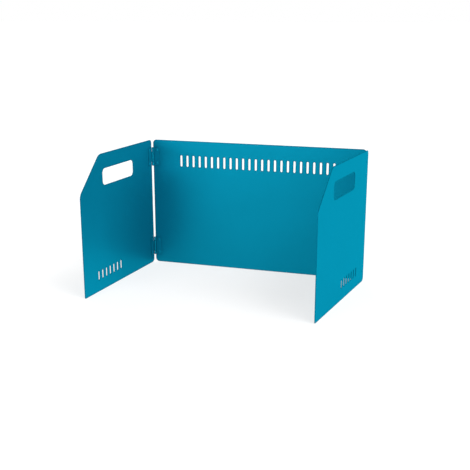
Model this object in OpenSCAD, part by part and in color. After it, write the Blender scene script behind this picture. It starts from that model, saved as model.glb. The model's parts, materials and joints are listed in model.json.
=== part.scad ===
// Folding windscreen for a camp stove: a back panel and two hinged wings of sheet metal.
// Sizes are in millimetres. The origin is on the ground, at the middle of the back panel's bottom edge.
// +X runs along the back panel, +Z is up, and the stove stands on the -Y side.

/* [Panels] */
// Width of the back panel
back_w = 420; // [300:1:600]
// Width of each wing, from its hinge edge to its front edge
wing_w = 250; // [200:1:400]
// Height of all three panels
panel_h = 250; // [200:1:400]
// Thickness of the sheet metal
sheet_t = 1.2; // [0.8:0.1:2]
// Corner radius of the back panel and of each wing's hinge edge
hinge_edge_r = 7; // [1:0.5:12]
// Corner radius at the foot of each wing's front edge
toe_r = 3; // [1:0.5:12]
// Leg of the 45 degree cut across each wing's upper front corner
corner_cut = 63; // [40:1:90]
// Radius that softens both ends of that cut
corner_cut_r = 18; // [5:1:30]

/* [Wing angles] */
// Angle inside the screen between the back panel and the left wing
left_wing_angle = 97; // [45:0.5:180]
// Angle inside the screen between the back panel and the right wing
right_wing_angle = 80; // [45:0.5:180]

/* [Hand slots] */
// Length of the hand slot in the middle of each wing
hand_slot_l = 105; // [80:1:130]
// Height of the hand slot
hand_slot_h = 30; // [20:1:40]
// Corner radius of the hand slot
hand_slot_r = 8; // [2:0.5:9]
// From the wing's top edge down to the middle of the hand slot
hand_slot_drop = 43; // [35:1:60]

/* [Vents] */
// Width of every vent slot
vent_w = 4; // [2:0.5:6]
// From the middle of one vent slot to the next
vent_pitch = 12.6; // [8:0.1:20]
// Height of the vent slots in the back panel
back_vent_h = 22; // [10:1:30]
// From the back panel's top edge down to the middle of its vents
back_vent_drop = 40; // [30:1:80]
// Least distance from the back panel's side edges to the middle of a vent slot
back_vent_margin = 58; // [30:1:100]
// Height of the vent slots in the wings
wing_vent_h = 16; // [8:1:30]
// From the wing's bottom edge up to the middle of its vents
wing_vent_rise = 30; // [20:1:60]
// From the wing's right-hand edge, seen from outside, to the middle of its vents
wing_vent_inset = 85; // [60:1:120]
// Number of vent slots in each wing
wing_vent_count = 7; // [1:1:8]

/* [Hinges] */
// Length of each hinge along its pin
hinge_l = 36; // [25:1:50]
// From the panel's top or bottom edge to the middle of the nearer hinge
hinge_inset = 33.5; // [28:0.5:60]
// Thickness of the hinge leaves
leaf_t = 1; // [0.8:0.1:1.5]
// From the pin's centre line to the free edge of a leaf
leaf_w = 14; // [12:0.5:20]
// Corner radius at the free edge of a leaf
leaf_r = 1.5; // [0.5:0.1:3]
// Length of the two knuckles at the ends of a hinge
end_knuckle_l = 7.5; // [5:0.5:9]
// Gap between neighbouring knuckles
knuckle_gap = 0.3; // [0.2:0.05:0.6]
// Gap between a knuckle and the edge of the other leaf
relief_gap = 0.35; // [0.3:0.05:0.8]
// Gap where the rolled end of a knuckle comes back to its leaf
seam_gap = 0.3; // [0.2:0.05:0.5]
// How much thinner a knuckle's wall is than its leaf, from the rolling
roll_thinning = 0.05; // [0.03:0.01:0.1]
// Distance from the pin's centre line to each panel's edge
edge_gap = 0.6; // [0.5:0.1:3]

/* [Pins] */
// Diameter of the hinge pin
pin_d = 2; // [1.6:0.1:3]
// Room around the pin in its knuckles
pin_clearance = 0.05; // [0.02:0.01:0.1]
// How far a peened pin head stands out past the pin's side
pin_head_lip = 0.5; // [0.3:0.1:0.8]
// Height of a peened pin head
pin_head_h = 0.6; // [0.4:0.1:1]

/* [Rivets] */
// Diameter of the rivet shank
rivet_d = 3.2; // [2.4:0.1:4]
// Room around the rivet shank in its holes
rivet_clearance = 0.05; // [0.02:0.01:0.1]
// Diameter of the domed rivet head
rivet_head_d = 6; // [5:0.1:7]
// Height of the straight rim below the dome
rivet_rim_h = 0.2; // [0.1:0.05:0.4]
// Diameter of the set rivet tail on the outer face
rivet_tail_d = 5; // [4.5:0.1:7]
// Height of the set rivet tail
rivet_tail_h = 0.6; // [0.4:0.1:1]
// From the end of a leaf to the middle of its nearer rivet
rivet_margin = 4.8; // [4:0.1:8]
// Gap left between facing rivet heads when a wing is folded shut
folded_gap = 0.3; // [0.3:0.05:0.6]

/* [Hidden] */
$fn = 64;
PAINT = [0.02, 0.53, 0.68];
SIDES = ["left", "right"];
LEVELS = ["upper", "lower"];
HINGE_PIECES = ["frame_leaf", "wing_leaf", "pin", "frame_rivets", "wing_rivets"];

// Turn of one straight step along a rounded corner, in degrees
arc_step = 5;
// The same along a rolled knuckle
roll_step = 10;
// Cuts reach this far past the sheet on both sides
cut_margin = 1;

// A knuckle is the end of its leaf, rolled around the pin
bore_r = pin_d / 2 + pin_clearance;
knuckle_r = bore_r + leaf_t - roll_thinning;
// Height of the pin's centre line above a leaf's inner face
leaf_drop = knuckle_r - leaf_t;
// A leaf lies on the panel's inner face, level with the outside of its knuckles
axis_offset = knuckle_r + sheet_t / 2;
axis_x = back_w / 2 + edge_gap;
relief = knuckle_r + relief_gap;
mid_knuckle_l = hinge_l - 2 * (end_knuckle_l + knuckle_gap);
// The roll stops where its outer rim is one seam gap above the leaf
seam_angle = asin((leaf_drop - seam_gap) / knuckle_r);
// From the seam over the pin and round to the leaf, straight below the pin
roll_sweep = 270 + seam_angle;
pin_head_r = pin_d / 2 + pin_head_lip;
pin_head_edge = pin_head_h / 2;

// Rivets sit midway between the knuckles and the free edge of the leaf
rivet_reach = (knuckle_r + leaf_w) / 2;
rivet_z = hinge_l / 2 - rivet_margin;
rivet_grip = leaf_t + sheet_t;
rivet_hole_r = rivet_d / 2 + rivet_clearance;
// Folded shut, the inner faces of two leaves are two leaf drops apart
rivet_head_h = leaf_drop - folded_gap / 2;
rivet_dome_h = rivet_head_h - rivet_rim_h;
rivet_dome_r = (pow(rivet_head_d / 2, 2) + pow(rivet_dome_h, 2)) / (2 * rivet_dome_h);

function hinge_z(level) = level == "upper" ? panel_h - hinge_inset : hinge_inset;
function unit(v) = v / norm(v);

// Points of one rounded corner at p, entered from point a and left towards point b
function corner(a, p, b, r) =
    let (
        in = unit(a - p),
        out = unit(b - p),
        half = acos(in * out) / 2,
        middle = p + unit(in + out) * r / sin(half),
        start = p + in * r / tan(half) - middle,
        turn = 180 - 2 * half,
        steps = ceil(turn / arc_step)
    )
    [
        for (i = [0:steps])
            let (angle = turn * i / steps)
            middle + [
                start.x * cos(angle) - start.y * sin(angle),
                start.x * sin(angle) + start.y * cos(angle)
            ]
    ];

// Outline through the points, anticlockwise, with every corner rounded to its own radius
function rounded(points, radii) =
    let (n = len(points))
    [
        for (i = [0:n - 1])
            each corner(points[(i + n - 1) % n], points[i], points[(i + 1) % n], radii[i])
    ];

// Round-cornered opening, centred
module slot(l, h, r) {
    square([l - 2 * r, h], center = true);
    square([l, h - 2 * r], center = true);
    for (x = [-1, 1], y = [-1, 1])
        translate([x * (l / 2 - r), y * (h / 2 - r)])
            circle(r);
}

// Upright round-ended vent, centred
module vent(h) {
    square([vent_w, h - vent_w], center = true);
    for (y = [-1, 1])
        translate([0, y * (h - vent_w) / 2])
            circle(vent_w / 2);
}

// Evenly spaced vents, centred
module vent_row(count, h)
    for (i = [0:count - 1])
        translate([(i - (count - 1) / 2) * vent_pitch, 0])
            vent(h);

// Rivet holes of both hinges beside one upright edge, on the line at x
module rivet_holes(x)
    for (level = LEVELS, z = [-rivet_z, rivet_z])
        translate([x, hinge_z(level) + z])
            circle(rivet_hole_r);

// Turns an outline drawn across X and Z into a plate that grows from y = 0 towards -Y
module upright(t)
    rotate([90, 0, 0])
        linear_extrude(t)
            children();

// Frame of one fold: the pin's centre line is Z, +X runs along the back panel and +Y points inside
module fold(side)
    mirror([side == "left" ? 1 : 0, 0, 0])
        translate([axis_x, -axis_offset, 0])
            rotate(180)
                children();

// Frame of one wing: +X runs along the wing from the pin and +Y points inside the screen
module wing_frame(side)
    fold(side)
        rotate(side == "left" ? left_wing_angle : right_wing_angle)
            mirror([0, 1, 0])
                children();

module back_outline() {
    count = floor((back_w - 2 * back_vent_margin) / vent_pitch) + 1;
    difference() {
        polygon(rounded(
            [[-back_w / 2, 0], [back_w / 2, 0], [back_w / 2, panel_h], [-back_w / 2, panel_h]],
            [for (i = [1:4]) hinge_edge_r]
        ));
        translate([0, panel_h - back_vent_drop])
            vent_row(count, back_vent_h);
        for (x = [-1, 1])
            rivet_holes(x * (axis_x - rivet_reach));
    }
}

// Drawn from the hinge edge at x = 0 to the front edge
module wing_outline(vent_x)
    difference() {
        polygon(rounded(
            [
                [0, 0],
                [wing_w, 0],
                [wing_w, panel_h - corner_cut],
                [wing_w - corner_cut, panel_h],
                [0, panel_h]
            ],
            [hinge_edge_r, toe_r, corner_cut_r, corner_cut_r, hinge_edge_r]
        ));
        translate([wing_w / 2, panel_h - hand_slot_drop])
            slot(hand_slot_l, hand_slot_h, hand_slot_r);
        translate([vent_x, wing_vent_rise])
            vent_row(wing_vent_count, wing_vent_h);
        rivet_holes(rivet_reach - edge_gap);
    }

module back_panel()
    color(PAINT)
        translate([0, sheet_t / 2, 0])
            upright(sheet_t)
                back_outline();

module wing(side)
    color(PAINT)
        wing_frame(side)
            translate([edge_gap, -knuckle_r, 0])
                upright(sheet_t)
                    wing_outline(side == "left" ? wing_w - wing_vent_inset : wing_vent_inset);

// Cross-section of a knuckle before it is bored: the leaf runs in under the pin and rolls over it
module knuckle_section(tab_l) {
    steps = ceil(roll_sweep / roll_step);
    polygon(concat(
        [[tab_l, -knuckle_r], [tab_l, -leaf_drop], [0, -leaf_drop], [0, 0]],
        [
            for (i = [0:steps])
                let (angle = roll_sweep * i / steps - seam_angle)
                knuckle_r * [cos(angle), sin(angle)]
        ]
    ));
}

// Leaf with its knuckles, each given as [lower end, length], centred on the hinge's height
module leaf(knuckles) {
    end_z = hinge_l / 2;
    tab_l = (relief + leaf_w) / 2;
    difference() {
        union() {
            translate([0, -leaf_drop, 0])
                upright(leaf_t)
                    polygon(concat(
                        [[relief, end_z], [relief, -end_z]],
                        corner([relief, -end_z], [leaf_w, -end_z], [leaf_w, end_z], leaf_r),
                        corner([leaf_w, -end_z], [leaf_w, end_z], [relief, end_z], leaf_r)
                    ));
            for (k = knuckles)
                translate([0, 0, k[0]])
                    linear_extrude(k[1])
                        knuckle_section(tab_l);
        }
        cylinder(h = hinge_l + 2 * cut_margin, r = bore_r, center = true);
        for (z = [-rivet_z, rivet_z])
            translate([rivet_reach, -knuckle_r - cut_margin, z])
                rotate([-90, 0, 0])
                    cylinder(h = leaf_t + 2 * cut_margin, r = rivet_hole_r);
    }
}

module frame_leaf(side, level)
    color(PAINT)
        fold(side)
            translate([0, 0, hinge_z(level)])
                leaf([[-hinge_l / 2, end_knuckle_l], [hinge_l / 2 - end_knuckle_l, end_knuckle_l]]);

module wing_leaf(side, level)
    color(PAINT)
        wing_frame(side)
            translate([0, 0, hinge_z(level)])
                leaf([[-mid_knuckle_l / 2, mid_knuckle_l]]);

// Pin through all three knuckles, peened over at both ends
module pin(side, level) {
    seat = hinge_l / 2;
    tip = seat + pin_head_h;
    color(PAINT)
        fold(side)
            translate([0, 0, hinge_z(level)])
                rotate_extrude()
                    polygon([
                        [0, -tip],
                        [pin_head_r - pin_head_edge, -tip],
                        [pin_head_r, pin_head_edge - tip],
                        [pin_head_r, -seat],
                        [pin_d / 2, -seat],
                        [pin_d / 2, seat],
                        [pin_head_r, seat],
                        [pin_head_r, tip - pin_head_edge],
                        [pin_head_r - pin_head_edge, tip],
                        [0, tip]
                    ]);
}

// Rivet along Z with its head's seat at z = 0
module rivet()
    rotate_extrude() {
        intersection() {
            square([rivet_head_d / 2, 2 * rivet_head_h]);
            translate([0, rivet_head_h - rivet_dome_r])
                circle(rivet_dome_r);
        }
        translate([0, -rivet_grip - rivet_tail_h])
            square([rivet_d / 2, rivet_grip + rivet_tail_h + rivet_rim_h / 2]);
        translate([0, -rivet_grip - rivet_tail_h])
            square([rivet_tail_d / 2, rivet_tail_h]);
    }

// Both rivets of one leaf, heads on the leaf and tails on the panel's outer face
module rivet_pair()
    for (z = [-rivet_z, rivet_z])
        translate([rivet_reach, -leaf_drop, z])
            rotate([-90, 0, 0])
                rivet();

module frame_rivets(side, level)
    color(PAINT)
        fold(side)
            translate([0, 0, hinge_z(level)])
                rivet_pair();

module wing_rivets(side, level)
    color(PAINT)
        wing_frame(side)
            translate([0, 0, hinge_z(level)])
                rivet_pair();

back_panel();
for (side = SIDES) {
    wing(side);
    for (level = LEVELS) {
        hinge = str(side, "_", level, "_hinge_");
        frame_leaf(side, level);
        wing_leaf(side, level);
        pin(side, level);
        frame_rivets(side, level);
        wing_rivets(side, level);
    }
}
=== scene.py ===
"""Looks of a folding windscreen for a camp stove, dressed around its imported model.

Three panels of sheet steel and four rolled butt hinges, all under one teal powder coat, are built again
with rounded, coated edges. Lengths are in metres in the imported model's frame: X runs along the back
panel, Z is up, and the stove stands on the -Y side.
"""

import json
import logging
import math
from dataclasses import dataclass
from enum import Enum
from functools import cache
from typing import Any, Callable

import bpy
import numpy as np
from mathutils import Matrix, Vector
from mathutils.geometry import delaunay_2d_cdt


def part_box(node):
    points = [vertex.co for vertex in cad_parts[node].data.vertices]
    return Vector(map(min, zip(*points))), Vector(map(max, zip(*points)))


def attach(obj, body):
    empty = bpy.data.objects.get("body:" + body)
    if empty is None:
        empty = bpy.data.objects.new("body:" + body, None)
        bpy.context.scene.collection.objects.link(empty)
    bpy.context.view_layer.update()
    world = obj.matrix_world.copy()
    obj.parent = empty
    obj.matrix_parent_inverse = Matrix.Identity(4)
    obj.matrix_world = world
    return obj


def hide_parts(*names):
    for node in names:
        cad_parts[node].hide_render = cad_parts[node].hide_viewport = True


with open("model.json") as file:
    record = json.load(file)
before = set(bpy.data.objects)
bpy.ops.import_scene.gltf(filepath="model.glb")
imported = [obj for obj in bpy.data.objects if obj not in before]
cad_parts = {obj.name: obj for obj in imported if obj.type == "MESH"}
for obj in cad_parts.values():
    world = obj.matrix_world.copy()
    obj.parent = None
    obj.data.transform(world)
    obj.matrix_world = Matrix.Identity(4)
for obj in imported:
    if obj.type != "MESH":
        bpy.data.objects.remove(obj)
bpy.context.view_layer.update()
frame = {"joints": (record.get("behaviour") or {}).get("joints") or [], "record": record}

LOG = logging.getLogger("windscreen")
MM = 0.001
UP = np.array([0.0, 0.0, 1.0])
NO_POINTS = np.zeros((0, 2))
WHITE = (1.0, 1.0, 1.0, 1.0)
EDGE_MASK = "edge_mask"
# Straight steps on a corner's arc, on a hammered dome and round a turned piece
CORNER_STEPS = 12
DOME_STEPS = 12
TURN_STEPS = 40
# Triangles everywhere inside the outer line
FILL_INSIDE = 1
FILL_TOLERANCE = 1e-9


class Side(Enum):
    """The two wings, as the camera sees them; the value is the sign of the hinge line's X."""

    LEFT = -1
    RIGHT = 1

    @property
    def word(self) -> str:
        """The side's name as it stands in node names."""
        return self.name.lower()


class Level(Enum):
    """The upper and the lower hinge of a wing."""

    UPPER = "upper"
    LOWER = "lower"


class Half(Enum):
    """The two halves of a hinge: the leaf on the back panel and the leaf on the wing."""

    FRAME = "frame"
    WING = "wing"


def unit(rows: np.ndarray) -> np.ndarray:
    """The same directions, one per row, each divided by its length."""
    return rows / np.linalg.norm(rows, axis=1, keepdims=True)


@dataclass(frozen=True)
class Loop:
    """A closed line in a sheet's plane that keeps the metal on its left.

    Args:
        points: One row per point, along the sheet and up.
        outward: At each point, the unit direction that leads out of the metal.
    """

    points: np.ndarray
    outward: np.ndarray

    def inset(self, depths: np.ndarray) -> np.ndarray:
        """Gives copies of the line moved into the metal: point minus depth times outward direction.

        Args:
            depths: How deep each copy lies.

        Returns:
            An array of point, copy, coordinate.
        """
        return self.points[:, None, :] - depths[None, :, None] * self.outward[:, None, :]

    def moved(self, along: float, up: float) -> "Loop":
        """The same line, carried along the sheet and up."""
        return Loop(self.points + np.array([along, up]), self.outward)

    def as_opening(self) -> "Loop":
        """The same line turned round, so that the metal lies outside it."""
        return Loop(self.points[::-1], -self.outward[::-1])

    def refined(self, step: float) -> "Loop":
        """Cuts every stretch that runs along the sheet into equal parts no longer than a step.

        Args:
            step: Longest distance along the sheet from one point to the next.

        Returns:
            A line with the same shape and more points.
        """
        ahead = np.roll(self.points, -1, axis=0) - self.points
        turn = np.roll(self.outward, -1, axis=0) - self.outward
        parts = np.maximum(np.ceil(np.abs(ahead[:, 0]) / step).astype(int), 1)
        owner = np.repeat(np.arange(len(parts)), parts)
        first = np.cumsum(parts) - parts
        share = ((np.arange(len(owner)) - first[owner]) / parts[owner])[:, None]
        outward = unit(self.outward[owner] + share * turn[owner])
        return Loop(self.points[owner] + share * ahead[owner], outward)


def rounded_loop(corners: np.ndarray, radii: np.ndarray, steps: int = CORNER_STEPS) -> Loop:
    """Rounds every corner of a polygon with an arc that touches both of its sides.

    Each arc's middle lies on the bisector of its corner, radius over the sine of half the angle away; its
    points start at the touching point and turn about the middle, left at an outer corner and right at an
    inner one.

    Args:
        corners: Corner points, anticlockwise.
        radii: One radius per corner.
        steps: Straight steps on each arc.

    Returns:
        The rounded line with its outward directions.
    """
    back = unit(np.roll(corners, 1, axis=0) - corners)
    ahead = unit(np.roll(corners, -1, axis=0) - corners)
    half = np.arccos(np.clip((back * ahead).sum(1), -1, 1)) / 2
    middle = corners + unit(back + ahead) * (radii / np.sin(half))[:, None]
    spoke = corners + back * (radii / np.tan(half))[:, None] - middle
    left = np.sign(ahead[:, 0] * back[:, 1] - ahead[:, 1] * back[:, 0])
    angle = (left * (np.pi - 2 * half))[:, None] * np.linspace(0, 1, steps + 1)
    cos, sin = np.cos(angle), np.sin(angle)
    turned = np.stack(
        [
            spoke[:, None, 0] * cos - spoke[:, None, 1] * sin,
            spoke[:, None, 0] * sin + spoke[:, None, 1] * cos,
        ],
        axis=2,
    )
    points = (middle[:, None, :] + turned).reshape(-1, 2)
    outward = (turned * (left / radii)[:, None, None]).reshape(-1, 2)
    apart = np.linalg.norm(np.roll(points, -1, axis=0) - points, axis=1) > FILL_TOLERANCE
    return Loop(points[apart], outward[apart])


def rounded_slot(length: float, height: float, radius: float, steps: int = CORNER_STEPS) -> Loop:
    """Outline of a round-cornered opening about the origin; a full radius makes round ends or a circle.

    Args:
        length: Size along the sheet.
        height: Size upwards.
        radius: Corner radius.
        steps: Straight steps on each corner.

    Returns:
        The opening's line, with the metal outside it.
    """
    half = np.array([length, height]) / 2
    signs = np.array([[-1, -1], [1, -1], [1, 1], [-1, 1]])
    return rounded_loop(signs * half, np.full(len(signs), radius), steps).as_opening()


@dataclass(frozen=True)
class Surface:
    """A mesh on its way.

    Args:
        points: One row per point.
        quads: Four corner numbers per face, so that the face looks outwards.
        triangles: Three corner numbers per face, likewise.
        edge: At each point, how near it is to an edge, from 0 on a face to 1.
    """

    points: np.ndarray
    quads: np.ndarray
    triangles: np.ndarray
    edge: np.ndarray

    def moved(self, change: Callable[[np.ndarray], np.ndarray], mirrored: bool = False) -> "Surface":
        """Carries all points somewhere else.

        Args:
            change: Gives the new place of an array of points.
            mirrored: Whether the change turns left into right, which turns every face round.

        Returns:
            The surface in its new place.
        """
        order = -1 if mirrored else 1
        quads, triangles = self.quads[:, ::order], self.triangles[:, ::order]
        return Surface(change(self.points), quads, triangles, self.edge)

    def shifted(self, offset: np.ndarray) -> "Surface":
        """The same surface, carried by an offset."""
        return self.moved(lambda points: points + offset)

    def joined(self, other: "Surface") -> "Surface":
        """Puts another surface into the same mesh.

        Args:
            other: The surface to add.

        Returns:
            Both surfaces as one.
        """
        start = len(self.points)
        return Surface(
            np.concatenate([self.points, other.points]),
            np.concatenate([self.quads, other.quads + start]),
            np.concatenate([self.triangles, other.triangles + start]),
            np.concatenate([self.edge, other.edge]),
        )


@dataclass(frozen=True)
class EdgeProfile:
    """Section through the edge of a coated sheet: flat face, quarter round, short land, and the same back.

    Args:
        thickness: Thickness of the sheet.
        radius: Radius of the quarter rounds.
        reach: How far from the edge its look fades into the face.
        steps: Straight steps on each quarter round.
        lead: Width of the strip that leads from the face into the round.
    """

    thickness: float
    radius: float
    reach: float
    steps: int = 5
    lead: float = 0.12 * MM

    def section(self) -> tuple[np.ndarray, np.ndarray, np.ndarray]:
        """Works out the section: on the round, depth is radius times one minus the cosine of the angle and
        height is the round's middle plus radius times the sine.

        Returns:
            Depth into the metal, height above the sheet's middle, and edge mask, from face to face.
        """
        angle = np.linspace(np.pi / 2, 0, self.steps + 1)
        strip = [self.reach, self.radius + self.lead]
        depth = np.concatenate([strip, self.radius * (1 - np.cos(angle))])
        drop = np.concatenate([np.zeros(len(strip)), self.radius * (1 - np.sin(angle))])
        height = self.thickness / 2 - drop
        fade = np.clip((self.reach - depth) / (self.reach - self.radius), 0, 1)
        return (
            np.concatenate([depth, depth[::-1]]),
            np.concatenate([height, -height[::-1]]),
            np.concatenate([fade, fade[::-1]]),
        )


def grid_quads(rows: int, columns: int, closed: bool) -> np.ndarray:
    """Corner numbers of the faces between the points of a grid.

    Args:
        rows: Points along the path.
        columns: Points along the profile.
        closed: Whether the last row joins the first.

    Returns:
        One row of four corner numbers per face.
    """
    number = np.arange(rows * columns).reshape(rows, columns)
    ahead = np.roll(number, -1, axis=0)
    if not closed:
        number, ahead = number[:-1], ahead[:-1]
    return np.stack([number[:, :-1], number[:, 1:], ahead[:, 1:], ahead[:, :-1]], axis=2).reshape(-1, 4)


def filled(lines: list[np.ndarray], inside: np.ndarray) -> np.ndarray:
    """Fills the flat area inside an outline and outside its openings with triangles.

    The openings bulge everywhere, so a triangle with all its corners on one of them lies inside it.

    Args:
        lines: The outline's points, then each opening's.
        inside: Further points between the lines.

    Returns:
        Anticlockwise triangles, numbered through all the lines in order and then the points inside.
    """
    points = np.concatenate([*lines, inside])
    counts = [len(line) for line in lines]
    first = np.cumsum([0] + counts)
    sides = [
        np.stack([np.arange(a, b), np.roll(np.arange(a, b), -1)], axis=1)
        for a, b in zip(first[:-1], first[1:])
    ]
    made = delaunay_2d_cdt(
        points.tolist(), np.concatenate(sides).tolist(), [], FILL_INSIDE, FILL_TOLERANCE
    )
    triangles = np.array(made[2])
    owner = np.repeat(np.arange(len(lines)), counts)
    owner = np.concatenate([owner, np.zeros(len(inside), int)])[triangles]
    in_opening = (owner[:, :1] == owner).all(axis=1) & (owner[:, 0] > 0)
    triangles = triangles[~in_opening]
    a, b, c = (points[triangles[:, i]] for i in range(3))
    area = (b - a)[:, 0] * (c - a)[:, 1] - (b - a)[:, 1] * (c - a)[:, 0]
    triangles[area < 0] = triangles[area < 0][:, ::-1]
    return triangles


def cut_sheet(cuts: list[tuple[Loop, EdgeProfile]], inside: np.ndarray = NO_POINTS) -> Surface:
    """Makes a flat sheet: an edge profile carried along every cut line, and both faces filled between.

    A point is the cut line's point moved into the metal by the profile's depth, at the profile's height.

    Args:
        cuts: The outline, then the openings, each with the profile of its edge.
        inside: Further points that both faces pass through, away from the edges.

    Returns:
        A closed sheet: along, up, and height above its middle towards the inner face.
    """
    points, quads, edges, front, back, lines = [], [], [], [], [], []
    start, half = 0, cuts[0][1].thickness / 2
    for loop, profile in cuts:
        depth, height, fade = profile.section()
        across = loop.inset(depth)
        rows, columns = across.shape[:2]
        level = np.broadcast_to(height[None, :, None], (rows, columns, 1))
        points.append(np.concatenate([across, level], axis=2).reshape(-1, 3))
        edges.append(np.broadcast_to(fade, (rows, columns)).reshape(-1))
        quads.append(start + grid_quads(rows, columns, closed=True))
        number = start + np.arange(rows * columns).reshape(rows, columns)
        front.append(number[:, 0])
        back.append(number[:, -1])
        lines.append(across[:, 0])
        start += rows * columns
    for face, level in ((front, half), (back, -half)):
        points.append(np.concatenate([inside, np.full((len(inside), 1), level)], axis=1))
        edges.append(np.zeros(len(inside)))
        face.append(start + np.arange(len(inside)))
        start += len(inside)
    triangles = filled(lines, inside)
    return Surface(
        np.concatenate(points),
        np.concatenate(quads),
        np.concatenate([np.concatenate(front)[triangles], np.concatenate(back)[triangles][:, ::-1]]),
        np.concatenate(edges),
    )


def turned(profile: np.ndarray, edge: float, steps: int = TURN_STEPS) -> Surface:
    """Turns a profile about the upright axis: radius times cosine and sine of the angle, at its height.

    Args:
        profile: Radius and height of each point, from the top of the axis to its bottom.
        edge: Edge mask all over it.
        steps: Points round the axis.

    Returns:
        A closed turned surface with a single point at each pole.
    """
    angle = np.linspace(0, 2 * np.pi, steps, endpoint=False)
    ring = profile[1:-1]
    rows, columns = steps, len(ring)
    around = np.stack(
        [
            ring[None, :, 0] * np.cos(angle)[:, None],
            ring[None, :, 0] * np.sin(angle)[:, None],
            np.broadcast_to(ring[:, 1], (rows, columns)),
        ],
        axis=2,
    )
    poles = np.array([[0, 0, profile[0, 1]], [0, 0, profile[-1, 1]]])
    number = np.arange(rows * columns).reshape(rows, columns)
    ahead = np.roll(number, -1, axis=0)
    top, bottom = rows * columns, rows * columns + 1
    caps = [
        np.stack([np.full(rows, top), number[:, 0], ahead[:, 0]], axis=1),
        np.stack([np.full(rows, bottom), ahead[:, -1], number[:, -1]], axis=1),
    ]
    points = np.concatenate([around.reshape(-1, 3), poles])
    quads = grid_quads(rows, columns, closed=True)
    return Surface(points, quads, np.concatenate(caps), np.full(len(points), edge))


def dome(radius: float, height: float, fullness: float, steps: int = DOME_STEPS) -> np.ndarray:
    """Section of a hammered head: radius times cosine and height times sine, both to a power below one.

    Args:
        radius: Radius at the seat.
        height: Height above the seat.
        fullness: Power of the curve; 2 is an ellipse, and more is a flatter top with a rounder rim.
        steps: Straight steps from top to seat.

    Returns:
        Radius and height of each point, from the top down to the seat.
    """
    angle = np.linspace(np.pi / 2, 0, steps + 1)
    cos, sin = np.clip(np.cos(angle), 0, 1), np.clip(np.sin(angle), 0, 1)
    return np.stack([radius * cos ** (2 / fullness), height * sin ** (2 / fullness)], axis=1)


@dataclass(frozen=True)
class Placement:
    """Where a flat piece lies.

    Args:
        origin: Where its own zero point is.
        along: Unit direction along it.
        inner: Unit direction in which its inner face looks.
    """

    origin: np.ndarray
    along: np.ndarray
    inner: np.ndarray

    @property
    def mirrored(self) -> bool:
        """Whether along, up and inner make a left-handed set."""
        return float(np.linalg.det(np.stack([self.along, UP, self.inner]))) < 0

    def place(self, surface: Surface) -> Surface:
        """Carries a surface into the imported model's frame: the origin plus each part times its direction.

        Args:
            surface: A surface in the piece's own directions: along, up, inner.

        Returns:
            The surface in its place.
        """
        basis = np.stack([self.along, UP, self.inner])
        return surface.moved(lambda points: self.origin + points @ basis, self.mirrored)


@dataclass(frozen=True)
class Fold:
    """The hinge line between the back panel and one wing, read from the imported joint.

    Args:
        side: Which wing.
        axis: Where the pins' centre line meets the ground.
        angle: Angle from the back panel to the wing, in radians.
    """

    # Angle of a wing in line with the back panel, in degrees
    FLAT = 180

    side: Side
    axis: np.ndarray
    angle: float

    @classmethod
    def of(cls, side: Side) -> "Fold":
        """Reads a fold from its joint, whose lower limit is the wing lying flat, in line with the back.

        Args:
            side: Which wing.

        Returns:
            The fold with the wing's angle at rest.
        """
        name = f"{side.word}_wing_fold"
        joint = next(j for j in frame["joints"] if j["name"] == name)
        angle = math.radians(cls.FLAT + joint["range_deg"][0])
        return cls(side, np.array(joint["pos_m"], float), angle)

    def placement(self, half: Half) -> Placement:
        """Directions of the back panel or of the wing, seen from the pin.

        Args:
            half: Which side of the fold.

        Returns:
            A placement whose origin is on the pin's centre line, at the ground.
        """
        along, inner = np.array([-float(self.side.value), 0.0, 0.0]), np.array([0.0, -1.0, 0.0])
        if half is Half.FRAME:
            return Placement(self.axis, along, inner)
        cos, sin = math.cos(self.angle), math.sin(self.angle)
        return Placement(self.axis, cos * along + sin * inner, sin * along - cos * inner)


class Graph:
    """A short way to add nodes to one shader tree and join them."""

    NOISE_MIDDLE = 0.5
    # Numbers of the mix node's colour sockets
    MIX_SHARE, MIX_FIRST, MIX_SECOND, MIX_RESULT = 0, 6, 7, 2

    def __init__(self, tree: bpy.types.NodeTree) -> None:
        """Takes the tree to work in."""
        self.tree = tree

    @classmethod
    def cleared(cls, owner: bpy.types.Material | bpy.types.World) -> "Graph":
        """Empties the shader tree of a material or world, ready for its own nodes.

        Args:
            owner: The material or world.

        Returns:
            A graph on the empty tree.
        """
        owner.use_nodes = True
        owner.node_tree.nodes.clear()
        return cls(owner.node_tree)

    def add(self, kind: str, inputs: dict[Any, Any] | None = None, **settings: Any) -> bpy.types.Node:
        """Adds a node.

        Args:
            kind: Blender's name of the node type.
            inputs: Socket name or number with its value, or with the socket that feeds it.
            settings: Properties of the node.

        Returns:
            The new node.
        """
        node = self.tree.nodes.new(kind)
        for name, value in settings.items():
            setattr(node, name, value)
        for name, value in (inputs or {}).items():
            if isinstance(value, bpy.types.NodeSocket):
                self.tree.links.new(value, node.inputs[name])
            else:
                node.inputs[name].default_value = value
        return node

    def math(self, operation: str, a: Any, b: Any) -> bpy.types.NodeSocket:
        """Adds a sum, product or other operation on two values and returns its output."""
        return self.add("ShaderNodeMath", {0: a, 1: b}, operation=operation).outputs[0]

    def mix(self, share: Any, first: Any, second: Any) -> bpy.types.NodeSocket:
        """Adds a mix of two colours and returns its output."""
        colours = {self.MIX_SHARE: share, self.MIX_FIRST: first, self.MIX_SECOND: second}
        return self.add("ShaderNodeMix", colours, data_type="RGBA").outputs[self.MIX_RESULT]

    def noise(self, place: bpy.types.NodeSocket, size: Any, detail: float) -> bpy.types.NodeSocket:
        """Adds noise about zero with features of a given size.

        Args:
            place: Where on the piece.
            size: Size of the features, in metres.
            detail: How many finer layers it has.

        Returns:
            The noise value.
        """
        scale = self.math("DIVIDE", 1.0, size)
        node = self.add("ShaderNodeTexNoise", {"Vector": place, "Scale": scale, "Detail": detail})
        return self.math("SUBTRACT", node.outputs[0], self.NOISE_MIDDLE)


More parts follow.
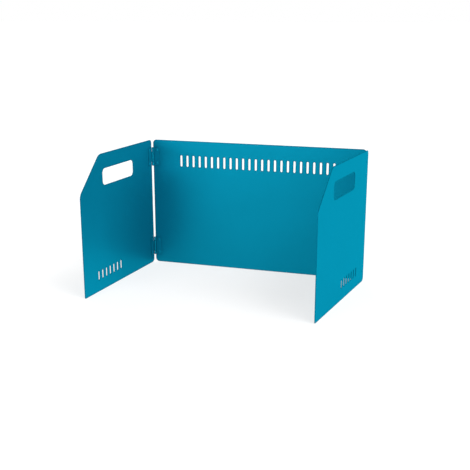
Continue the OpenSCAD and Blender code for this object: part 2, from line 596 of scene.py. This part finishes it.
def shader_group(
    name: str, inputs: dict[str, str], outputs: dict[str, str]
) -> tuple[Graph, dict[str, bpy.types.NodeSocket]]:
    """Starts a shader node group with named sockets.

    Args:
        name: The group's name.
        inputs: Socket name and kind of each input.
        outputs: Socket name and kind of each output.

    Returns:
        A graph to build the group with, and its input values by name.
    """
    group = bpy.data.node_groups.new(name, "ShaderNodeTree")
    for names, way in ((inputs, "INPUT"), (outputs, "OUTPUT")):
        for socket, kind in names.items():
            group.interface.new_socket(name=socket, in_out=way, socket_type=f"NodeSocket{kind}")
    graph = Graph(group)
    entry = graph.add("NodeGroupInput")
    return graph, {socket: entry.outputs[socket] for socket in inputs}


class CoatGroups:
    """The effects that all coats share, each made once."""

    # Finer layers in a smooth noise and in a broken one
    SMOOTH = 1.0
    BROKEN = 2.0
    # Mean share of thin coat on an edge, whose darker colour is partly painted shade
    EDGE_SHARE = 0.75

    @classmethod
    @cache
    def orange_peel(cls) -> bpy.types.NodeTree:
        """Makes the low, rounded bumps of baked powder with finer grain on them: two noises, added by
        weight, that fade where the coat flows smooth along the edges.

        Returns:
            A node group that gives a height.
        """
        graph, value = shader_group(
            "orange_peel",
            {
                "Place": "Vector",
                "Edge": "Float",
                "Peel Size": "Float",
                "Grain Size": "Float",
                "Grain Share": "Float",
            },
            {"Height": "Float"},
        )
        peel = graph.noise(value["Place"], value["Peel Size"], cls.SMOOTH)
        grain = graph.noise(value["Place"], value["Grain Size"], cls.BROKEN)
        fine = graph.math("MULTIPLY", grain, value["Grain Share"])
        open_face = graph.math("SUBTRACT", 1.0, value["Edge"])
        height = graph.math("MULTIPLY", graph.math("ADD", peel, fine), open_face)
        graph.add("NodeGroupOutput", {"Height": height})
        return graph.tree

    @classmethod
    @cache
    def coat_tone(cls) -> bpy.types.NodeTree:
        """Makes slow clouds and fine specks in the coat's tone and gloss, and a thinner, duller coat along
        the edges. That coat's colour is also painted light: darker on panels, leaves and pins, partly as
        painted shade that outlines each edge, and lighter on rivets as a painted highlight. The clouds and
        specks scale the colour, and the edge mask mixes in the thin coat.

        Returns:
            A node group that gives a colour and a roughness.
        """
        graph, value = shader_group(
            "coat_tone",
            {
                "Place": "Vector",
                "Edge": "Float",
                "Coat": "Color",
                "Thin Coat": "Color",
                "Cloud Size": "Float",
                "Speck Size": "Float",
                "Tone Change": "Float",
                "Roughness": "Float",
                "Gloss Change": "Float",
            },
            {"Colour": "Color", "Roughness": "Float"},
        )
        cloud = graph.noise(value["Place"], value["Cloud Size"], cls.BROKEN)
        speck = graph.noise(value["Place"], value["Speck Size"], cls.SMOOTH)
        both = graph.math("ADD", cloud, speck)
        tone = graph.math("ADD", graph.math("MULTIPLY", both, value["Tone Change"]), 1.0)
        shaded = graph.add("ShaderNodeHueSaturation", {"Color": value["Coat"], "Value": tone})
        # Share of the thin coat: darker on panels, leaves and pins, partly painted shade along the edges;
        # lighter on rivets, a painted highlight
        rubbed_and_painted_light = graph.math("MULTIPLY", value["Edge"], graph.math("ADD", speck, cls.EDGE_SHARE))
        colour = graph.mix(rubbed_and_painted_light, shaded.outputs["Color"], value["Thin Coat"])
        dull = graph.math("MULTIPLY", graph.math("ADD", both, rubbed_and_painted_light), value["Gloss Change"])
        roughness = graph.math("ADD", value["Roughness"], dull)
        graph.add("NodeGroupOutput", {"Colour": colour, "Roughness": roughness})
        return graph.tree


@dataclass(frozen=True)
class PowderCoat:
    """A satin powder coat on steel.

    Args:
        slot: The record's material slot.
        coat: Colour of the coat on a face.
        thin_coat: Colour where the coat thins along an edge; a darker one is also painted shade along the
            edges, and a lighter one is a painted highlight.
        roughness: Mean roughness.
        metallic: Share of the look that is gloss in the coat's own colour.
        specular: Strength of plain gloss.
        grazing_tint: Colour of the gloss at a grazing angle.
        peel_size: Size of the orange peel bumps.
        grain_size: Size of the grain on them.
        grain_share: Height of the grain as a share of theirs.
        peel_depth: Height of the bumps.
        cloud_size: Size of the slow clouds of tone and gloss.
        speck_size: Size of the fine specks.
        tone_change: How far clouds and specks change the tone.
        gloss_change: How far clouds, specks and edges change the roughness.
    """

    slot: str
    coat: tuple[float, float, float] = (0.0015, 0.2, 0.31)
    # Darker than the coat: partly a coat worn thin on the edges, partly painted shade that outlines them
    thin_coat: tuple[float, float, float] = (0.001, 0.1, 0.16)
    roughness: float = 0.35
    metallic: float = 0.6
    specular: float = 0.0
    grazing_tint: tuple[float, float, float] = (0.0, 0.72, 0.82)
    peel_size: float = 2.4 * MM
    grain_size: float = 0.5 * MM
    grain_share: float = 0.35
    peel_depth: float = 0.08 * MM
    cloud_size: float = 90 * MM
    speck_size: float = 1.1 * MM
    tone_change: float = 0.1
    gloss_change: float = 0.1

    def material(self) -> bpy.types.Material:
        """Builds the coat's material, or finds it again.

        Returns:
            A material with tone, gloss and bump that change over the surface.
        """
        name = f"teal_{self.slot}"
        if name in bpy.data.materials:
            return bpy.data.materials[name]
        material = bpy.data.materials.new(name)
        graph = Graph.cleared(material)
        place = graph.add("ShaderNodeTexCoord").outputs["Object"]
        edge = graph.add("ShaderNodeAttribute", attribute_name=EDGE_MASK).outputs["Fac"]
        tone = graph.add(
            "ShaderNodeGroup",
            {
                "Place": place,
                "Edge": edge,
                "Coat": (*self.coat, 1),
                "Thin Coat": (*self.thin_coat, 1),
                "Cloud Size": self.cloud_size,
                "Speck Size": self.speck_size,
                "Tone Change": self.tone_change,
                "Roughness": self.roughness,
                "Gloss Change": self.gloss_change,
            },
            node_tree=CoatGroups.coat_tone(),
        )
        peel = graph.add(
            "ShaderNodeGroup",
            {
                "Place": place,
                "Edge": edge,
                "Peel Size": self.peel_size,
                "Grain Size": self.grain_size,
                "Grain Share": self.grain_share,
            },
            node_tree=CoatGroups.orange_peel(),
        )
        bump = graph.add(
            "ShaderNodeBump",
            {"Strength": 1.0, "Distance": self.peel_depth, "Height": peel.outputs["Height"]},
        )
        shader = graph.add(
            "ShaderNodeBsdfPrincipled",
            {
                "Base Color": tone.outputs["Colour"],
                "Roughness": tone.outputs["Roughness"],
                "Metallic": self.metallic,
                "Specular IOR Level": self.specular,
                "Specular Tint": (*self.grazing_tint, 1),
                "Normal": bump.outputs["Normal"],
            },
        )
        graph.add("ShaderNodeOutputMaterial", {"Surface": shader.outputs[0]})
        return material


PANEL_COAT = PowderCoat("panel_coat")
HINGE_COAT = PowderCoat("hinge_coat", peel_size=1.8 * MM, peel_depth=0.06 * MM)
# The rivets' thin coat is lighter than their coat and is mixed all over them: a painted highlight that
# shows the heads as light spots
RIVET_COAT = PowderCoat(
    "rivet_coat", thin_coat=(0.004, 0.25, 0.36), peel_size=1.4 * MM, peel_depth=0.05 * MM
)


def make_mesh(name: str, surface: Surface) -> bpy.types.Object:
    """Puts a surface into a new object at the origin, smooth, with its edge mask.

    Args:
        name: Name of the object.
        surface: The surface, in its place.

    Returns:
        The new object.
    """
    mesh = bpy.data.meshes.new(name)
    mesh.from_pydata(surface.points.tolist(), [], surface.quads.tolist() + surface.triangles.tolist())
    mesh.polygons.foreach_set("use_smooth", np.ones(len(mesh.polygons), bool))
    mask = mesh.attributes.new(EDGE_MASK, "FLOAT", "POINT")
    mask.data.foreach_set("value", surface.edge.astype(np.float32))
    mesh.validate()
    mesh.update()
    piece = bpy.data.objects.new(name, mesh)
    bpy.context.scene.collection.objects.link(piece)
    return piece


def dress(node: str, surface: Surface, coat: PowderCoat) -> None:
    """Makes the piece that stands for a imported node, coats it and lets it ride on the node's body.

    Args:
        node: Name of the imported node.
        surface: The piece's surface, in its place.
        coat: Its finish.
    """
    bodies = frame["record"]["behaviour"]["bodies"]
    body = next(name for name, nodes in bodies.items() if node in nodes)
    piece = make_mesh(f"{node}_coated", surface)
    piece.data.materials.append(coat.material())
    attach(piece, body)
    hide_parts(node)
    LOG.info("%s: %d points, on %s", piece.name, len(surface.points), body)


@dataclass(frozen=True)
class HingeSizes:
    """Sizes that all four hinges share.

    A name that ends in t is a thickness, w a width, l a length, h a height and r a radius. A mask is the
    edge mask all over a hammered piece, and a fullness is the power of its dome. The mask mixes the thin
    coat all over the piece: on the pin a darker one, partly painted shade, and on the rivets a lighter one,
    a painted highlight.
    """

    # Leaves
    length: float = 36 * MM
    inset: float = 33.5 * MM
    leaf_t: float = 1.0 * MM
    leaf_w: float = 14 * MM
    leaf_r: float = 1.5 * MM
    tab_r: float = 0.6 * MM
    corner_steps: int = 6
    edge_gap: float = 0.6 * MM
    edge_r: float = 0.2 * MM
    edge_reach: float = 0.5 * MM
    # Knuckles rolled from them
    end_knuckle_l: float = 7.5 * MM
    knuckle_gap: float = 0.3 * MM
    relief_gap: float = 0.35 * MM
    seam_gap: float = 0.3 * MM
    roll_thinning: float = 0.05 * MM
    roll_step: float = 0.22 * MM
    # Pin
    pin_r: float = 1.0 * MM
    pin_clearance: float = 0.05 * MM
    pin_neck: float = 0.04 * MM
    pin_head_r: float = 1.5 * MM
    pin_head_h: float = 0.6 * MM
    pin_head_fullness: float = 2.6
    # Mixes the darker thin coat all over the pin, partly painted shade
    pin_mask: float = 0.25
    # Rivets
    rivet_r: float = 1.6 * MM
    rivet_clearance: float = 0.05 * MM
    rivet_head_r: float = 3.0 * MM
    rivet_head_h: float = 0.85 * MM
    rivet_head_fullness: float = 2.3
    rivet_tail_r: float = 2.5 * MM
    rivet_tail_h: float = 0.6 * MM
    rivet_tail_fullness: float = 3.6
    rivet_margin: float = 4.8 * MM
    # Mixes the lighter rivet coat all over each rivet as a painted highlight
    rivet_mask: float = 0.2

    @property
    def knuckle_r(self) -> float:
        """Outer radius of a knuckle, which is also the height of the pin above the panel's face."""
        return self.pin_r + self.pin_clearance + self.leaf_t - self.roll_thinning

    @property
    def relief(self) -> float:
        """From the pin's centre line to the edge of a leaf beside the other leaf's knuckle."""
        return self.knuckle_r + self.relief_gap

    @property
    def roll_turn(self) -> float:
        """Angle of a knuckle's roll, in radians: round from below the pin until the seam gap is left."""
        drop = self.knuckle_r - self.leaf_t - self.seam_gap
        return 1.5 * math.pi + math.asin(drop / self.knuckle_r)

    @property
    def roll_r(self) -> float:
        """Radius of the middle of a knuckle's wall."""
        return self.knuckle_r - self.leaf_t / 2

    @property
    def rivet_reach(self) -> float:
        """From the pin's centre line to the rivets, midway between knuckle and free edge."""
        return (self.knuckle_r + self.leaf_w) / 2

    @property
    def rivet_heights(self) -> tuple[float, float]:
        """Heights of a leaf's two rivets about the hinge's middle."""
        height = self.length / 2 - self.rivet_margin
        return -height, height

    def hinge_height(self, level: Level, panel_h: float) -> float:
        """Height of a hinge's middle above the ground."""
        return self.inset if level is Level.LOWER else panel_h - self.inset

    def rivet_hole(self) -> Loop:
        """Outline of a rivet hole about the origin."""
        size = 2 * (self.rivet_r + self.rivet_clearance)
        return rounded_slot(size, size, size / 2, self.corner_steps)


@dataclass
class Hinge:
    """A rolled butt hinge: a leaf with two knuckles, a leaf with one, a peened pin and four rivets.

    Args:
        fold: The fold that it makes.
        level: Whether it is the upper or the lower one.
        height: Height of its middle above the ground.
        sheet_t: Thickness of the panels.
        sizes: Its other sizes.
    """

    fold: Fold
    level: Level
    height: float
    sheet_t: float
    sizes: HingeSizes = HingeSizes()

    @property
    def name(self) -> str:
        """Start of the names of this hinge's nodes."""
        return f"{self.fold.side.word}_{self.level.value}_hinge"

    def blank(self, half: Half) -> Loop:
        """Outline of a leaf before its knuckles are rolled: along from the pin, up from the middle.

        Args:
            half: Which leaf.

        Returns:
            The outline, with enough points to roll smoothly.
        """
        s = self.sizes
        end, roll = s.length / 2, -s.roll_r * s.roll_turn
        step = end - s.end_knuckle_l
        if half is Half.FRAME:
            notch = [[roll, end], [roll, step], [s.relief, step]]
        else:
            step -= s.knuckle_gap
            notch = [[s.relief, end], [s.relief, step], [roll, step]]
        mirror = [[along, -up] for along, up in reversed(notch)]
        corners = np.array([[s.leaf_w, -end], [s.leaf_w, end], *notch, *mirror])
        radii = np.array([s.leaf_r] * 2 + [s.tab_r] * (len(corners) - 2))
        return rounded_loop(corners, radii, s.corner_steps).refined(s.roll_step)

    def knuckle_rows(self, half: Half) -> np.ndarray:
        """Points along both sides of each knuckle's blank, so that its faces roll in even steps.

        Args:
            half: Which leaf.

        Returns:
            Along and up of each point.
        """
        s = self.sizes
        end, margin = s.length / 2, 2 * s.edge_reach
        step = end - s.end_knuckle_l
        rows = [step + margin, end - margin] if half is Half.FRAME else [step - s.knuckle_gap - margin]
        free_end = s.edge_reach + s.roll_step - s.roll_r * s.roll_turn
        along, up = np.meshgrid(np.arange(free_end, s.relief, s.roll_step), [*np.negative(rows), *rows])
        return np.stack([along.ravel(), up.ravel()], axis=1)

    def rolled(self, points: np.ndarray) -> np.ndarray:
        """Rolls what runs past the pin around it: distance past the pin over the roll's middle radius is
        the angle, and the knuckle's outer radius less the height in the leaf is the radius. The leaf thins
        evenly on its way to the pin and stays thin round it, so that the pin turns freely.

        Args:
            points: Along, up, height above the leaf's middle.

        Returns:
            Along, up, inner, seen from the pin.
        """
        s = self.sizes
        along, up, height = points.T
        angle = np.maximum(-along, 0) / s.roll_r
        thinner = 1 - s.roll_thinning / s.leaf_t * np.clip(1 - along / s.roll_r, 0, 1)
        radius = s.knuckle_r - (height + s.leaf_t / 2) * thinner
        past = np.where(along < 0, -radius * np.sin(angle), along)
        return np.stack([past, up + self.height, -radius * np.cos(angle)], axis=1)

    def leaf(self, half: Half) -> Surface:
        """Cuts a leaf with its rivet holes and rolls its knuckles.

        Args:
            half: Which leaf.

        Returns:
            The leaf in its place.
        """
        s = self.sizes
        edge = EdgeProfile(s.leaf_t, s.edge_r, s.edge_reach)
        holes = [s.rivet_hole().moved(s.rivet_reach, up) for up in s.rivet_heights]
        cuts = [(line, edge) for line in (self.blank(half), *holes)]
        flat = cut_sheet(cuts, self.knuckle_rows(half))
        return self.fold.placement(half).place(flat.moved(self.rolled))

    def pin(self) -> Surface:
        """Turns the pin: a round bar with a hammered dome on each end.

        Returns:
            The pin in its place.
        """
        s = self.sizes
        end = s.length / 2
        head = dome(s.pin_head_r, s.pin_head_h, s.pin_head_fullness) + np.array([0, end])
        neck = np.array([[s.pin_r + s.pin_neck, end], [s.pin_r, end - s.pin_neck]])
        top = np.concatenate([head, neck])
        profile = np.concatenate([top, top[::-1] * np.array([1, -1])])
        return turned(profile, s.pin_mask).shifted(self.fold.axis + self.height * UP)

    def rivet(self) -> Surface:
        """Turns a rivet about its own axis: domed head, shank and set tail, with the head's seat at zero.

        Returns:
            The rivet with its head up.
        """
        s = self.sizes
        grip = s.leaf_t + self.sheet_t
        head = dome(s.rivet_head_r, s.rivet_head_h, s.rivet_head_fullness)
        tail = dome(s.rivet_tail_r, s.rivet_tail_h, s.rivet_tail_fullness)[::-1]
        shank = np.array([[s.rivet_r, 0.0], [s.rivet_r, -grip]])
        profile = np.concatenate([head, shank, tail * np.array([1, -1]) - np.array([0, grip])])
        return turned(profile, s.rivet_mask)

    def rivets(self, half: Half) -> Surface:
        """Sets both rivets of a leaf, heads on the leaf and tails on the panel's outer face.

        Args:
            half: Which leaf.

        Returns:
            Both rivets in their places.
        """
        s = self.sizes
        face = s.leaf_t - s.knuckle_r
        seats = [np.array([s.rivet_reach, self.height + up, face]) for up in s.rivet_heights]
        low, high = (self.rivet().shifted(seat) for seat in seats)
        return self.fold.placement(half).place(low.joined(high))

    def build(self) -> None:
        """Builds and dresses the hinge's five nodes."""
        for half in Half:
            dress(f"{self.name}_{half.value}_leaf", self.leaf(half), HINGE_COAT)
            dress(f"{self.name}_{half.value}_rivets", self.rivets(half), RIVET_COAT)
        dress(f"{self.name}_pin", self.pin(), HINGE_COAT)


@dataclass(frozen=True)
class PanelSizes:
    """Sizes that the three panels share, named as the hinges' are.

    In the panels' own sizes a drop is measured down from the top edge, a rise up from the bottom edge, and
    an inset or margin in from the side.
    """

    hinge_edge_r: float = 7 * MM
    edge_r: float = 0.4 * MM
    edge_reach: float = 2.2 * MM
    hole_reach: float = 0.7 * MM
    hole_steps: int = 2
    vent_w: float = 4 * MM
    vent_pitch: float = 12.6 * MM
    vent_steps: int = 8

    def vent_row(self, count: int, height: float, along: float, up: float) -> list[Loop]:
        """Lines of a row of upright, round-ended vents.

        Args:
            count: How many vents.
            height: Height of each vent.
            along: Middle of the row along the sheet.
            up: Middle of the row's height.

        Returns:
            One line per vent.
        """
        vent = rounded_slot(self.vent_w, height, self.vent_w / 2, self.vent_steps)
        places = (np.arange(count) - (count - 1) / 2) * self.vent_pitch + along
        return [vent.moved(place, up) for place in places]


@dataclass(kw_only=True)
class Panel:
    """What the back panel and the wings have in common: a coated sheet with openings and rivet holes.

    Args:
        thickness: Thickness of the sheet.
        height: Height of the panel.
        sizes: Sizes that the panels share.
        hinge: Sizes of the hinges.
    """

    thickness: float
    height: float
    sizes: PanelSizes = PanelSizes()
    hinge: HingeSizes = HingeSizes()

    def rivet_holes(self, along: float) -> list[Loop]:
        """Lines of the rivet holes of both hinges beside one upright edge.

        Args:
            along: Where their line stands along the sheet.

        Returns:
            Four lines.
        """
        return [
            self.hinge.rivet_hole().moved(along, self.hinge.hinge_height(level, self.height) + up)
            for level in Level
            for up in self.hinge.rivet_heights
        ]

    def sheet(self, outline: Loop, openings: list[Loop], holes: list[Loop]) -> Surface:
        """Cuts the panel from sheet and rounds its edges.

        Args:
            outline: The panel's outline.
            openings: Its vents and slots.
            holes: Its rivet holes.

        Returns:
            The panel: along, up, height above the sheet's middle.
        """
        s = self.sizes
        edge = EdgeProfile(self.thickness, s.edge_r, s.edge_reach)
        hidden = EdgeProfile(self.thickness, s.edge_r, s.hole_reach, s.hole_steps)
        cuts = [(line, edge) for line in (outline, *openings)]
        return cut_sheet(cuts + [(hole, hidden) for hole in holes])


@dataclass(kw_only=True)
class BackPanel(Panel):
    """The wide back panel with its row of vents."""

    width: float
    vent_h: float = 22 * MM
    vent_drop: float = 40 * MM
    vent_margin: float = 58 * MM

    def build(self) -> None:
        """Builds and dresses the panel."""
        s = self.sizes
        half = self.width / 2
        corners = np.array([[-half, 0], [half, 0], [half, self.height], [-half, self.height]])
        outline = rounded_loop(corners, np.full(len(corners), s.hinge_edge_r))
        count = int((self.width - 2 * self.vent_margin) / s.vent_pitch) + 1
        vents = s.vent_row(count, self.vent_h, 0.0, self.height - self.vent_drop)
        rivet_line = half + self.hinge.edge_gap - self.hinge.rivet_reach
        holes = self.rivet_holes(-rivet_line) + self.rivet_holes(rivet_line)
        place = Placement(np.zeros(3), np.array([1.0, 0.0, 0.0]), np.array([0.0, -1.0, 0.0]))
        dress("back_panel", place.place(self.sheet(outline, vents, holes)), PANEL_COAT)


@dataclass(kw_only=True)
class WingPanel(Panel):
    """A wing: a sheet with a cut upper front corner, a hand slot and a short row of vents."""

    fold: Fold
    width: float = 250 * MM
    toe_r: float = 3 * MM
    corner_cut: float = 63 * MM
    corner_cut_r: float = 18 * MM
    hand_slot_l: float = 105 * MM
    hand_slot_h: float = 30 * MM
    hand_slot_r: float = 8 * MM
    hand_slot_drop: float = 43 * MM
    vent_h: float = 16 * MM
    vent_rise: float = 30 * MM
    vent_inset: float = 85 * MM
    vent_count: int = 7

    def outline(self) -> Loop:
        """Draws the wing with its cut corner, from its hinge edge at zero to its front edge.

        Returns:
            The rounded outline.
        """
        s = self.sizes
        corners = np.array(
            [
                [0, 0],
                [self.width, 0],
                [self.width, self.height - self.corner_cut],
                [self.width - self.corner_cut, self.height],
                [0, self.height],
            ]
        )
        radii = [s.hinge_edge_r, self.toe_r, self.corner_cut_r, self.corner_cut_r, s.hinge_edge_r]
        return rounded_loop(corners, np.array(radii))

    def build(self) -> None:
        """Builds and dresses the wing."""
        s, side = self.sizes, self.fold.side
        slot = rounded_slot(self.hand_slot_l, self.hand_slot_h, self.hand_slot_r)
        openings = [slot.moved(self.width / 2, self.height - self.hand_slot_drop)]
        row = self.width - self.vent_inset if side is Side.LEFT else self.vent_inset
        openings += s.vent_row(self.vent_count, self.vent_h, row, self.vent_rise)
        holes = self.rivet_holes(self.hinge.rivet_reach - self.hinge.edge_gap)
        flat = self.sheet(self.outline(), openings, holes)
        middle = -self.hinge.knuckle_r - self.thickness / 2
        from_pin = flat.shifted(np.array([self.hinge.edge_gap, 0.0, middle]))
        dress(f"{side.word}_wing", self.fold.placement(Half.WING).place(from_pin), PANEL_COAT)


def direction(azimuth: float, elevation: float) -> Vector:
    """Direction from the object to something round it.

    Args:
        azimuth: Degrees round the object, from the front to the right.
        elevation: Degrees above the floor.

    Returns:
        A unit vector: sine and minus cosine of the azimuth times cosine of the elevation, and its sine.
    """
    a, e = math.radians(azimuth), math.radians(elevation)
    return Vector((math.sin(a) * math.cos(e), -math.cos(a) * math.cos(e), math.sin(e)))


@dataclass(frozen=True)
class Lamp:
    """A wide, soft studio lamp far away.

    Args:
        name: Its name.
        azimuth: Degrees round the object, from the front to the right.
        elevation: Degrees above the floor.
        strength: How bright it is.
        spread: How wide it looks from the object, in degrees.
    """

    name: str
    azimuth: float
    elevation: float
    strength: float
    spread: float

    def build(self) -> None:
        """Hangs the lamp so that it shines at the object."""
        light = bpy.data.lights.new(self.name, "SUN")
        light.energy = self.strength
        light.angle = math.radians(self.spread)
        lamp = bpy.data.objects.new(self.name, light)
        lamp.rotation_mode = "QUATERNION"
        lamp.rotation_quaternion = direction(self.azimuth, self.elevation).to_track_quat("Z", "Y")
        bpy.context.scene.collection.objects.link(lamp)


@dataclass
class Studio:
    """A pale floor, soft light all round, and a camera at the photograph's viewing angle."""

    # Camera
    aim: tuple[float, float, float] = (-0.0113, -0.1, 0.0968)
    azimuth: float = 16.8
    elevation: float = 15.41
    distance: float = 1.4782
    lens: float = 61.64
    # Floor
    floor_half: float = 40.0
    floor_points: int = 21
    floor_drop: float = 0.2 * MM
    floor_tone: float = 0.3
    floor_roughness: float = 0.9
    floor_glow: float = 0.7
    # Light
    sky_strength: float = 0.3
    backdrop_strength: float = 1.0
    lamps: tuple[Lamp, ...] = (
        Lamp("front_left_lamp", -30, 10, 1.53, 30),
        Lamp("front_right_lamp", 42, 28, 0.98, 36),
        Lamp("low_right_lamp", 70, 4, 2.75, 24),
        Lamp("high_right_lamp", 70, 50, 1.27, 30),
        Lamp("right_back_lamp", 140, 35, 1.2, 40),
        Lamp("left_back_lamp", -140, 35, 1.6, 40),
    )

    def floor(self) -> None:
        """Lays the floor: a level grid of points, evenly spaced both ways."""
        line = np.linspace(-self.floor_half, self.floor_half, self.floor_points)
        across, along = np.meshgrid(line, line)
        level = np.full_like(across, -self.floor_drop)
        points = np.stack([across, along, level], axis=2).reshape(-1, 3)
        quads = grid_quads(self.floor_points, self.floor_points, closed=False)[:, ::-1]
        sheet = Surface(points, quads, np.zeros((0, 3), int), np.zeros(len(points)))
        floor = make_mesh("studio_floor", sheet)
        material = bpy.data.materials.new("studio_floor")
        graph = Graph.cleared(material)
        shader = graph.add(
            "ShaderNodeBsdfPrincipled",
            {
                "Base Color": (*[self.floor_tone] * 3, 1),
                "Roughness": self.floor_roughness,
                "Specular IOR Level": 0.0,
                "Emission Color": WHITE,
                "Emission Strength": self.floor_glow,
            },
        )
        graph.add("ShaderNodeOutputMaterial", {"Surface": shader.outputs[0]})
        floor.data.materials.append(material)

    def sky(self) -> None:
        """Fills the scene with soft white light before a white backdrop."""
        world = bpy.data.worlds.new("studio_sky")
        graph = Graph.cleared(world)
        light, backdrop = (
            graph.add("ShaderNodeBackground", {"Color": WHITE, "Strength": strength}).outputs[0]
            for strength in (self.sky_strength, self.backdrop_strength)
        )
        seen = graph.add("ShaderNodeLightPath").outputs["Is Camera Ray"]
        both = graph.add("ShaderNodeMixShader", {0: seen, 1: light, 2: backdrop})
        graph.add("ShaderNodeOutputWorld", {"Surface": both.outputs[0]})
        bpy.context.scene.world = world

    def camera(self) -> None:
        """Stands the camera on its line to the aim: azimuth round the object, elevation above the floor."""
        away = direction(self.azimuth, self.elevation)
        lens = bpy.data.cameras.new("studio_camera")
        lens.lens = self.lens
        camera = bpy.data.objects.new("studio_camera", lens)
        camera.location = Vector(self.aim) + away * self.distance
        camera.rotation_mode = "QUATERNION"
        camera.rotation_quaternion = (-away).to_track_quat("-Z", "Y")
        bpy.context.scene.collection.objects.link(camera)
        bpy.context.scene.camera = camera

    def build(self) -> None:
        """Sets up the whole studio."""
        bpy.context.scene.view_settings.view_transform = "Standard"
        self.floor()
        self.sky()
        self.camera()
        for lamp in self.lamps:
            lamp.build()


def write_sizes() -> None:
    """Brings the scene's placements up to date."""
    bpy.context.view_layer.update()


def main() -> None:
    """Builds the studio, the back panel, and each wing with its hinges."""
    logging.basicConfig(level=logging.INFO, format="%(name)s %(message)s")
    Studio().build()
    low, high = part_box("back_panel")
    thickness, height = high.y - low.y, high.z - low.z
    BackPanel(thickness=thickness, height=height, width=high.x - low.x).build()
    for side in Side:
        wing = WingPanel(thickness=thickness, height=height, fold=Fold.of(side))
        wing.build()
        for level in Level:
            Hinge(wing.fold, level, wing.hinge.hinge_height(level, height), thickness).build()
    write_sizes()


if __name__ == "__main__":
    main()
